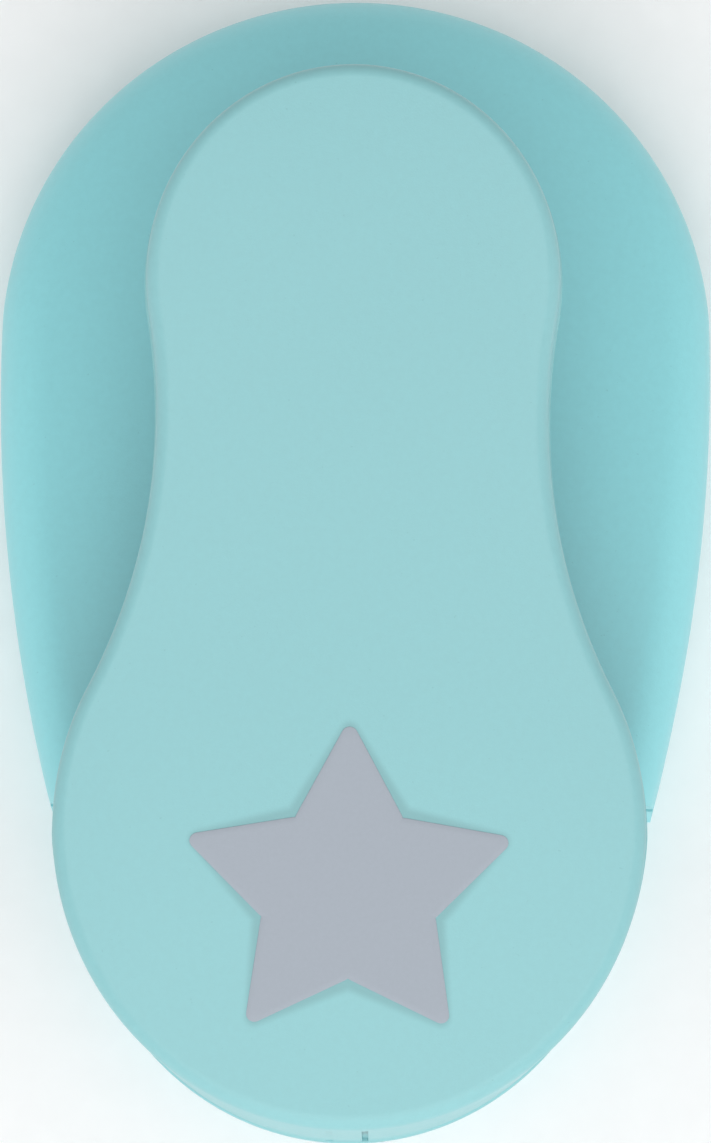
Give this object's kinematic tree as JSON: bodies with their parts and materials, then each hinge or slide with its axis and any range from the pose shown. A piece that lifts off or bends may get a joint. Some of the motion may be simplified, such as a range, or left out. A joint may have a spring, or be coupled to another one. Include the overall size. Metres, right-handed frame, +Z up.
{
  "type": "craft punch",
  "caption": "Lever-operated paper punch with a star-shaped cutter, an egg-shaped body and a bowling-pin-shaped lever with a star inlay.",
  "frame": {"origin": "on the table, under the centre of the outline seen from above", "axes": "+X right, +Y towards the back, away from the paper slot, +Z up"},
  "size_m": [0.058, 0.095, 0.0431],
  "materials": {
    "body_plastic": "fine spark-eroded grain, turquoise",
    "lever_plastic": "fine spark-eroded grain, turquoise",
    "star_print": "flat grey-lilac print",
    "tool_steel": "ground",
    "cast_zinc": "as cast, slightly rough",
    "spring_steel": "drawn wire",
    "plated_screw": "zinc plated",
    "rubber": "matt black"
  },
  "bodies": {
    "body": {"base_tray": "body_plastic", "body_shell": "body_plastic", "die_plate": "tool_steel", "throat_spacer": "tool_steel", "punch_guide": "cast_zinc", "return_spring_left": "spring_steel", "return_spring_right": "spring_steel", "guide_screws": "plated_screw", "die_screws": "plated_screw", "base_screws": "plated_screw", "stop_pad": "rubber"},
    "punch": {"star_punch": "tool_steel", "punch_head": "cast_zinc", "punch_head_screws": "plated_screw"},
    "lever": {"lever_cover": "lever_plastic", "lever_arm": "cast_zinc", "lever_screws": "plated_screw", "star_inlay": "star_print", "hinge_pin": "tool_steel", "hinge_clips": "plated_screw"}
  },
  "joints": [
    {"name": "lever_hinge", "type": "hinge", "parent": "body", "child": "lever", "pos_m": [0, -0.04259, 0.0184], "axis": [-1, 0, 0], "range_deg": [0, 16.2], "stiffness_Nm_per_rad": 0.3, "springref_deg": -14.32},
    {"name": "punch_slide", "type": "slide", "parent": "body", "child": "punch", "axis": [0, 0, -1], "range_m": [0, 0.004], "deforming": ["return_spring_left", "return_spring_right"]}
  ],
  "couplings": [
    {"joint": "punch_slide", "follows": "lever_hinge", "m_per_rad": 0.01415}
  ]
}
